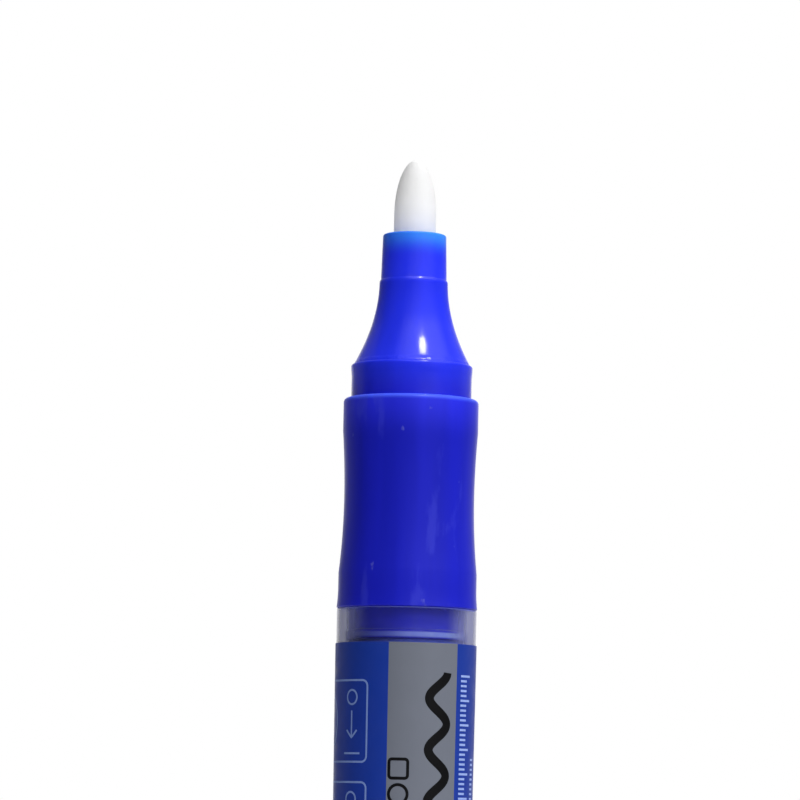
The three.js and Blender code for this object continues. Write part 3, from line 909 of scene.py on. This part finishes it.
def make_valve_housing():
    end = low("valve_housing")
    boss_top = high("valve_housing")
    plate_top = boss_top - BOSS_HEIGHT
    plate_bottom = plate_top - PLATE_THICKNESS
    plate = radius("valve_housing")
    outline = [
        (TUBE_BORE, end),
        (TUBE - CHAMFER, end),
        (TUBE, end + CHAMFER),
        (TUBE, plate_bottom),
        (plate, plate_bottom),
        (plate, plate_top),
        (BOSS, plate_top),
        (BOSS, boss_top),
        (ORIFICE, boss_top),
        (ORIFICE, plate_bottom),
        (TUBE_BORE, plate_bottom),
    ]
    housing = turned("valve_housing_smooth", outline, AROUND_INNER)
    slot_bottom = boss_top - BOSS_SLOT_DEPTH
    slots = [
        block("slot", 4 * BOSS, BOSS_SLOT_WIDTH, slot_bottom, boss_top + CUT_PAST, turn)
        for turn in (0, 90)
    ]
    combine(housing, slots, "DIFFERENCE")
    dress(housing, "valve_housing", "front_section", HOUSING_WHITE)


def make_rubber_ring(name, node, inner):
    bottom, top, outer = low(node), high(node), radius(node)
    soft = min(RING_SOFT, (outer - inner) / 4)
    outline = [
        (inner, bottom),
        (outer - soft, bottom),
        *arc(outer - soft, bottom + soft, soft, -90, 0, SOFT_STEPS),
        *arc(outer - soft, top - soft, soft, 0, 90, SOFT_STEPS),
        (inner, top),
    ]
    dress(turned(name, outline, AROUND_INNER), node, "front_section", RUBBER)


def make_spring():
    """A helix with closed end turns; the real spring shortens when the nib is pushed in, but this one
    keeps its length at rest.
    """
    bottom, top = low("valve_spring"), high("valve_spring")
    pitch = (top - bottom - SPRING_WIRE - 2 * SPRING_END_PITCH) / (SPRING_TURNS - 2)
    verts, faces = [], []
    count = SPRING_TURNS * WIRE_STEPS
    for i in range(count + 1):
        turn = i / WIRE_STEPS
        inner = min(max(turn - 1, 0), SPRING_TURNS - 2)
        ends = min(turn, 1) + max(turn - (SPRING_TURNS - 1), 0)
        rise = bottom + SPRING_WIRE / 2 + ends * SPRING_END_PITCH + inner * pitch
        angle = turn * 2 * math.pi
        for side in range(WIRE_SIDES):
            around = side / WIRE_SIDES * 2 * math.pi
            size = SPRING_COIL + SPRING_WIRE / 2 * math.cos(around)
            height = rise + SPRING_WIRE / 2 * math.sin(around)
            verts.append((size * math.cos(angle), size * math.sin(angle), height))
    for i in range(count):
        row = i * WIRE_SIDES
        for side in range(WIRE_SIDES):
            a, b = row + side, row + (side + 1) % WIRE_SIDES
            faces.append((a, a + WIRE_SIDES, b + WIRE_SIDES, b))
    faces.append(tuple(range(WIRE_SIDES)))
    faces.append(tuple(reversed(range(count * WIRE_SIDES, (count + 1) * WIRE_SIDES))))
    spring = new_object("valve_spring_smooth", verts, faces, sharp=60)
    dress(spring, "valve_spring", "front_section", STEEL)
    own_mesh(spring)


# Barrel


def tapered(rear, front, height):
    """A radius that changes evenly from the barrel's rear to its front, at a height."""
    bottom, top = low("barrel_tube"), high("barrel_tube")
    return rear + (front - rear) * (height - bottom) / (top - bottom)


def barrel_outer(height):
    return tapered(BARREL_REAR, radius("barrel_tube"), height)


def barrel_bore(height):
    return tapered(BARREL_BORE_REAR, BARREL_BORE_TOP, height)


def film_radius(height):
    return barrel_outer(height) + LABEL_GAP + LABEL_THICKNESS


def make_barrel():
    """The tube, with a round groove in its bore for the grip's upper bead."""
    bottom, top = low("barrel_tube"), high("barrel_tube")
    front = radius("barrel_tube")
    centre = top + SEAT_GAP - UPPER_BEAD
    half = BEAD_HEIGHT / 2 + SNAP_SLACK
    above, below = centre + half, centre - half
    groove = BARREL_BORE_TOP + SNAP_GROOVE
    deepest = (groove, centre)
    outline = [
        (BARREL_BORE_REAR, bottom),
        (BARREL_REAR, bottom),
        (front - BARREL_LIP, top - BARREL_LIP),
        (front - BARREL_LIP_FLAT, top),
        (BARREL_BORE_TOP, top),
        *bend((barrel_bore(above), above), (groove, above), deepest, FILLET_STEPS),
        *bend(deepest, (groove, below), (barrel_bore(below), below), FILLET_STEPS)[1:],
    ]
    dress(turned("barrel_smooth", outline), "barrel_tube", "barrel", CLEAR_TUBE)


def make_label():
    """The film round the barrel, blue with a grey stripe along its length."""
    bottom, top = low("label_film"), high("label_film")
    outline = [
        (barrel_outer(bottom) + LABEL_GAP, bottom),
        (film_radius(bottom) - LABEL_EDGE, bottom),
        (film_radius(bottom), bottom + LABEL_EDGE),
        (film_radius(top), top - LABEL_EDGE),
        (film_radius(top) - LABEL_EDGE, top),
        (barrel_outer(top) + LABEL_GAP, top),
    ]
    film = turned("label_smooth", outline, AROUND_LABEL)
    dress(film, "label_film", "barrel", FILM_BLUE, FILM_GREY)
    for face in film.data.polygons:
        azimuth = math.degrees(math.atan2(face.center.x, -face.center.y))
        if STRIPE_LEFT < azimuth < STRIPE_RIGHT:
            face.material_index = 1


def make_plug():
    end = low("rear_plug")
    base = end + POST_LENGTH
    spigot_top = high("rear_plug")
    flange_top = base + PLUG_FLANGE
    flange = radius("rear_plug")
    edge = flange - PLUG_CHAMFER
    outline = [
        (0, end),
        *arc(POST - POST_FILLET, end + POST_FILLET, POST_FILLET, -90, 0),
        (POST, base),
        (edge, base),
        *arc(edge, base + PLUG_CHAMFER, PLUG_CHAMFER, -90, 0, SOFT_STEPS)[1:],
        (flange, flange_top),
        (PLUG_SPIGOT, flange_top),
        (PLUG_SPIGOT, spigot_top - CHAMFER),
        (PLUG_SPIGOT - CHAMFER, spigot_top),
        (PLUG_HOLLOW, spigot_top),
        (PLUG_HOLLOW, end + PLUG_END_WALL),
        (0, end + PLUG_END_WALL),
    ]
    dress(turned("rear_plug_smooth", outline), "rear_plug", "barrel", PLUG_BLUE)


# Print on the label


def wrapped(along, height):
    """A point of the unrolled label, just over the film."""
    azimuth = math.degrees(along / film_radius(high("label_film")))
    return on_ring(film_radius(height) + PRINT_PROUD, azimuth, height)


def densified(path, closed):
    """The path in short steps, so that its strokes follow the round film."""
    points = []
    ends = path[1:] + path[:1] if closed else path[1:]
    for (x0, z0), (x1, z1) in zip(path, ends):
        steps = max(1, int(math.hypot(x1 - x0, z1 - z0) / STROKE_STEP))
        for i in range(steps):
            points.append((x0 + (x1 - x0) * i / steps, z0 + (z1 - z0) * i / steps))
    if not closed:
        points.append(path[-1])
    return points


def stroke(path, width, closed=False):
    """Vertices and faces of a line of some width on the film."""
    points = densified(path, closed)
    count = len(points)
    across = max(1, math.ceil(width / STROKE_STEP))
    verts, faces = [], []
    for i, (x, z) in enumerate(points):
        before = points[i - 1] if closed or i > 0 else points[i]
        after = points[(i + 1) % count] if closed or i < count - 1 else points[i]
        dx, dz = after[0] - before[0], after[1] - before[1]
        length = math.hypot(dx, dz) or 1
        for j in range(across + 1):
            offset = width * (0.5 - j / across)
            verts.append(wrapped(x + dz / length * offset, z - dx / length * offset))
    row = across + 1
    for i in range(count if closed else count - 1):
        for j in range(across):
            a, b = row * i + j, row * ((i + 1) % count) + j
            faces.append((a, b, b + 1, a + 1))
    return verts, faces


def print_piece(name, strokes, material):
    """One piece of print, with all its faces turned outward."""
    verts, faces = [], []
    for more_verts, more_faces in strokes:
        start = len(verts)
        verts.extend(more_verts)
        faces.extend(tuple(start + v for v in face) for face in more_faces)
    piece = new_object(name, verts, faces, sharp=180)
    for face in piece.data.polygons:
        outward = Vector((face.center.x, face.center.y, 0))
        if face.normal.dot(outward) < 0:
            face.flip()
    piece.data.materials.append(material)
    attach(piece, "barrel")


def rounded_box(left, right, bottom, top, corner):
    path = []
    corners = ((right, top, 0), (left, top, 90), (left, bottom, 180), (right, bottom, 270))
    for x, z, start in corners:
        cx = x - corner if x == right else x + corner
        cz = z - corner if z == top else z + corner
        path.extend(arc(cx, cz, corner, start, start + 90, 6))
    return path


def oval(x, z, width, tall):
    points = []
    for i in range(CURVE_STEPS):
        angle = 2 * math.pi * i / CURVE_STEPS
        points.append((x + width / 2 * math.cos(angle), z + tall / 2 * math.sin(angle)))
    return points


def make_wave():
    """The bold wave down the stripe."""
    path = []
    for i in range(int((WAVE_TOP - PRINT_BOTTOM) / WAVE_STEP) + 1):
        phase = 2 * math.pi * WAVE_STEP * i / WAVE_PITCH
        path.append((WAVE_PLACE + WAVE_SWING * math.cos(phase), WAVE_TOP - WAVE_STEP * i))
    print_piece("print_bold_wave", [stroke(path, WAVE_WIDTH)], PRINT_BLACK)


def make_shapes():
    """Thin squares and rings in turn, beside the wave."""
    strokes = []
    half = SHAPE_SIZE / 2
    centre = SHAPES_TOP - half
    left, right = SHAPES_PLACE - half, SHAPES_PLACE + half
    while centre - half > PRINT_BOTTOM:
        if len(strokes) % 2:
            path = oval(SHAPES_PLACE, centre, SHAPE_SIZE, SHAPE_SIZE)
        else:
            path = rounded_box(left, right, centre - half, centre + half, SHAPE_CORNER)
        strokes.append(stroke(path, SHAPE_LINE, closed=True))
        centre -= SHAPE_SIZE + SHAPE_GAP
    print_piece("print_shapes", strokes, PRINT_BLACK)


def make_scale():
    """Ticks down the side, longer at every fifth, and a second row of short ones."""
    strokes = []

    def tick(left, length):
        strokes.append(stroke([(left, height), (left + length, height)], TICK_LINE))

    height = SCALE_TOP
    count = 0
    while height > PRINT_BOTTOM:
        tick(SCALE_LEFT, SHORT_TICK if count % LONG_TICK_EVERY else LONG_TICK)
        if height < SECOND_SCALE_TOP:
            tick(SECOND_SCALE_LEFT, SECOND_TICK)
        height -= SCALE_PITCH
        count += 1
    print_piece("print_scale", strokes, PRINT_PALE)


def arrow_down(x, top):
    tip = top - ARROW_LENGTH
    head = [(x - ARROW_HEAD, tip + ARROW_HEAD), (x, tip), (x + ARROW_HEAD, tip + ARROW_HEAD)]
    return [stroke([(x, top), (x, tip)], FRAME_LINE), stroke(head, FRAME_LINE)]


def make_frames():
    """Rounded frames with a ring, an arrow, an oval and one bar more in each frame down."""
    strokes = []
    left, right = DRAWING_PLACE - BAR_LENGTH / 2, DRAWING_PLACE + BAR_LENGTH / 2
    for number, top in enumerate(FRAME_TOPS):
        bottom = top - FRAME_HEIGHT
        box = rounded_box(FRAME_LEFT, FRAME_RIGHT, bottom, top, FRAME_CORNER)
        ring = oval(DRAWING_PLACE, top - RING_DROP, RING_SIZE, RING_SIZE)
        side = oval(OVAL_PLACE, (top + bottom) / 2, *OVAL_SIZE)
        strokes.extend(stroke(path, FRAME_LINE, closed=True) for path in (box, ring, side))
        strokes.extend(arrow_down(DRAWING_PLACE, top - ARROW_DROP))
        for i in range(number + 1):
            level = bottom + BAR_RISE + BAR_PITCH * i
            strokes.append(stroke([(left, level), (right, level)], FRAME_LINE))
    print_piece("print_frames", strokes, PRINT_LINE)


def make_rules():
    """Blocks of plain lines on the back, as fine print takes up, with no lettering."""
    strokes = []
    for place in RULE_PLACES:
        for top, count, length in RULE_BLOCKS:
            for i in range(count):
                x = place + RULE_PITCH * i
                share = LAST_RULE if i == count - 1 else 1 - RULE_RAG * (i % 3)
                strokes.append(stroke([(x, top), (x, top - length * share)], FRAME_LINE))
    print_piece("print_rules", strokes, PRINT_LINE)


# Cartridge


def make_cartridge():
    bottom, top, rim = low("ink_cartridge"), high("ink_cartridge"), radius("ink_cartridge")
    rim_bottom = top - CARTRIDGE_RIM_HEIGHT
    fillet = CARTRIDGE_FILLET
    outline = [
        (0, bottom),
        *arc(CARTRIDGE - fillet, bottom + fillet, fillet, -90, 0),
        (CARTRIDGE, rim_bottom - (rim - CARTRIDGE)),
        (rim, rim_bottom),
        (rim, top),
        (CARTRIDGE_BORE, top),
        (CARTRIDGE_BORE, bottom + CARTRIDGE_FLOOR),
        (0, bottom + CARTRIDGE_FLOOR),
    ]
    bottle = turned("ink_cartridge_smooth", outline, AROUND_CARTRIDGE)
    dress(bottle, "ink_cartridge", "cartridge", CARTRIDGE_SKIN)


def make_mouth_seal():
    node = "cartridge_mouth_seal"
    bottom, top, flange = low(node), high(node), radius(node)
    shoulder = top - MOUTH_SEAL_FLANGE
    soft = MOUTH_SEAL_SOFT
    outline = [
        (MOUTH_SEAL_BORE, bottom),
        (MOUTH_SEAL, bottom),
        (MOUTH_SEAL, shoulder),
        (flange, shoulder),
        *arc(flange - soft, top - soft, soft, 0, 90, SOFT_STEPS),
        (MOUTH_SEAL_BORE, top),
    ]
    dress(turned("mouth_seal_smooth", outline, AROUND_INNER), node, "cartridge", RUBBER)


def make_ink():
    bottom, top, size = low("ink_charge"), high("ink_charge"), radius("ink_charge")
    outline = [
        (0, bottom),
        (size, bottom),
        *arc(size - INK_SOFT, top - INK_SOFT, INK_SOFT, 0, 90, SOFT_STEPS),
        (0, top),
    ]
    dress(turned("ink_smooth", outline, AROUND_INNER), "ink_charge", "cartridge", INK)


# Cap


def clip_outline():
    """Side view of the clip, as distances from the axis and heights."""
    wall = GRIP_TOP
    inner = wall + CLIP_GAP
    outer = inner + CLIP_THICKNESS
    root = wall - CAP_TAPER - CLIP_ROOT_SUNK
    root_top = CLIP_ROOT + CLIP_ROOT_LENGTH
    end = CLIP_ROOT + CLIP_LENGTH
    bead_top = end - CLIP_THICKNESS / 2
    bead_start = end - CLIP_BEAD_LENGTH
    bead = (wall + CLIP_BEAD_GAP, (bead_start + end) / 2)
    arm = root_top + CLIP_THICKNESS
    return [
        (root, CLIP_ROOT),
        *bend((wall, CLIP_ROOT), (outer, CLIP_ROOT), (outer, root_top), 14),
        *bend((outer, end - CLIP_THICKNESS), (outer, end), (inner, end), 10),
        *bend((inner, bead_top), bead, (inner, bead_start), 12),
        *bend((inner, arm), (inner, root_top), (wall - CLIP_ARM_SUNK, root_top), 8),
        (root, root_top),
    ]


def make_clip():
    outline = clip_outline()
    half = CLIP_WIDTH / 2
    count = len(outline)
    verts = [(x, -half, z) for x, z in outline] + [(x, half, z) for x, z in outline]
    faces = [tuple(range(count)), tuple(reversed(range(count, 2 * count)))]
    for i in range(count):
        k = (i + 1) % count
        faces.append((k, i, count + i, count + k))
    clip = new_object("clip", verts, faces)
    soften(clip, CLIP_SOFT)
    return clip


def make_cap():
    length = high("cap_shell")
    end = GRIP_TOP - CAP_TAPER - CAP_END_FILLET
    mouth = GRIP_TOP - CAP_MOUTH_FILLET
    step = length - CAP_BORE_DEPTH
    inner = CAP_BORE - CAP_BORE_STEP
    ledge = low("cap_inner_seal") - SEAT_GAP
    outline = [
        (0, 0),
        *arc(end, CAP_END_FILLET, CAP_END_FILLET, -90, 0),
        *arc(mouth, length - CAP_MOUTH_FILLET, CAP_MOUTH_FILLET, 0, 90, 5),
        (CAP_BORE, length),
        (CAP_BORE, step),
        (inner, step - CAP_BORE_RAMP),
        (inner, ledge),
        (CAP_RECESS, ledge),
        (CAP_RECESS, CAP_END_WALL),
        (0, CAP_END_WALL),
    ]
    shell = turned("cap_smooth", outline)
    combine(shell, [make_clip()], "UNION")
    dress(shell, "cap_shell", "cap", CAP_BLUE)


def make_cap_seal():
    node = "cap_inner_seal"
    base, rim, flange = low(node), high(node), radius(node)
    floor = base + SEAL_BASE
    outline = [
        (0, base),
        (flange, base),
        (flange, base + SEAL_FLANGE),
        (SEAL_CUP, floor),
        *arc(SEAL_CUP - CUP_SOFT, rim - CUP_SOFT, CUP_SOFT, 0, 90, SOFT_STEPS),
        (SEAL_BORE + CUP_SOFT, rim),
        (SEAL_BORE, rim - CUP_SOFT),
        (SEAL_BORE, floor),
        (0, floor),
    ]
    dress(turned("cap_seal_smooth", outline, AROUND_INNER), node, "cap", SEAL_POLYTHENE)


# Camera, light and surroundings


def make_camera():
    data = bpy.data.cameras.new("camera")
    data.sensor_width = SENSOR
    data.lens = FOCAL_PIXELS * SENSOR / PHOTO_SIZE
    camera = bpy.data.objects.new("camera", data)
    bpy.context.scene.collection.objects.link(camera)
    pitch = Euler((math.radians(90 + CAMERA_PITCH), 0, 0)).to_matrix()
    roll = Matrix.Rotation(math.radians(CAMERA_ROLL), 3, "Z")
    camera.matrix_world = (pitch @ roll).to_4x4()
    camera.location = Vector((CAMERA_SIDE, -CAMERA_DISTANCE, CAMERA_HEIGHT)) * MM
    bpy.context.scene.camera = camera


def direction_to(azimuth, elevation):
    """The direction at an azimuth and an elevation in degrees."""
    rise = math.radians(elevation)
    return Vector(on_ring(math.cos(rise), azimuth, math.sin(rise)))


def make_world():
    """A dim room with one wide soft light, white behind the marker in mirrored rays and to the camera."""
    world = bpy.data.worlds.new("studio")
    bpy.context.scene.world = world
    world.use_nodes = True
    tree = world.node_tree
    direction = add_node(tree, "ShaderNodeTexCoord").outputs["Generated"]
    split = add_node(tree, "ShaderNodeSeparateXYZ")
    tree.links.new(direction, split.inputs["Vector"])
    x, y = split.outputs["X"], split.outputs["Y"]
    towards = add_node(tree, "ShaderNodeVectorMath", operation="DOT_PRODUCT")
    towards.inputs[1].default_value = direction_to(SKY_AZIMUTH, SKY_ELEVATION)
    tree.links.new(direction, towards.inputs[0])
    sky = ramp(tree, towards.outputs["Value"], *SKY_RAMP)
    walls = maths(tree, "ADD", ramp(tree, x, *SIDES_RAMP), ramp(tree, y, *BACK_RAMP))
    room = maths(tree, "ADD", walls, sky)
    white = maths(tree, "ADD", ramp(tree, y, *SURROUND_RAMP), ramp(tree, y, *BEHIND_RAMP))
    ray = add_node(tree, "ShaderNodeLightPath").outputs
    mirrored = maths(tree, "MAXIMUM", ray["Is Glossy Ray"], ray["Is Transmission Ray"])
    shown = maths(tree, "MULTIPLY", mirrored, white)
    seen = maths(tree, "MAXIMUM", ray["Is Camera Ray"], shown)
    background = tree.nodes["Background"]
    background.inputs["Color"].default_value = (1, 1, 1, 1)
    tree.links.new(maths(tree, "MAXIMUM", room, seen), background.inputs["Strength"])


def make_lamp(name, azimuth, elevation, distance, width, tall, level):
    """An oval lamp, in metres, that looks at the marker; level is the share of full light head on."""
    way = direction_to(azimuth, elevation)
    data = bpy.data.lights.new(name, "AREA")
    data.shape = "ELLIPSE"
    data.size = width
    data.size_y = tall
    data.energy = level * math.pi**2 * distance**2
    lamp = bpy.data.objects.new(name, data)
    lamp.location = Vector((0, 0, LAMP_AIM)) * MM + way * distance
    lamp.rotation_euler = (-way).to_track_quat("-Z", "Y").to_euler()
    bpy.context.scene.collection.objects.link(lamp)


def make_floor():
    """A round pale floor that fades out, so that it has no edge."""
    verts = [(0, 0, FLOOR_LEVEL)]
    for i in range(FLOOR_RINGS):
        size = FLOOR_RADIUS * (i + 1) / FLOOR_RINGS
        for j in range(FLOOR_SIDES):
            verts.append(on_ring(size, 360 * j / FLOOR_SIDES, FLOOR_LEVEL))
    faces = []
    for j in range(FLOOR_SIDES):
        k = (j + 1) % FLOOR_SIDES
        faces.append((0, 1 + j, 1 + k))
        for i in range(1, FLOOR_RINGS):
            outer = 1 + FLOOR_SIDES * i
            inner = outer - FLOOR_SIDES
            faces.append((inner + j, outer + j, outer + k, inner + k))
    floor = new_object("floor", verts, faces)
    look = Look("floor_white", (0.86, 0.86, 0.86), 0.9, Specular_IOR_Level=0.1)
    look.mottle(40, 0.01)
    distance = look.node("ShaderNodeVectorMath", operation="LENGTH")
    look.link(look.place, distance.inputs[0])
    fade_end = FLOOR_RADIUS * MM * 0.98
    look.drive(look.spread(distance.outputs["Value"], FLOOR_SOLID * MM, fade_end, 1, 0), "Alpha")
    floor.data.materials.append(look.material)


make_camera()
make_nib()
make_nose_cone()
make_grip()
make_valve_housing()
make_rubber_ring("gasket_smooth", "flange_gasket", GASKET_BORE)
make_rubber_ring("washer_smooth", "valve_seat_washer", WASHER_BORE)
make_spring()
keep_node("valve_stem", ACETAL)
keep_node("spring_retainer", ACETAL)
make_barrel()
make_label()
make_wave()
make_shapes()
make_scale()
make_frames()
make_rules()
make_plug()
make_cartridge()
make_mouth_seal()
make_ink()
make_cap()
make_cap_seal()
make_world()
make_lamp("key", azimuth=31.5, elevation=54.6, distance=1.0, width=0.22, tall=0.17, level=0.46)
make_floor()

bpy.context.scene.view_settings.view_transform = "Standard"
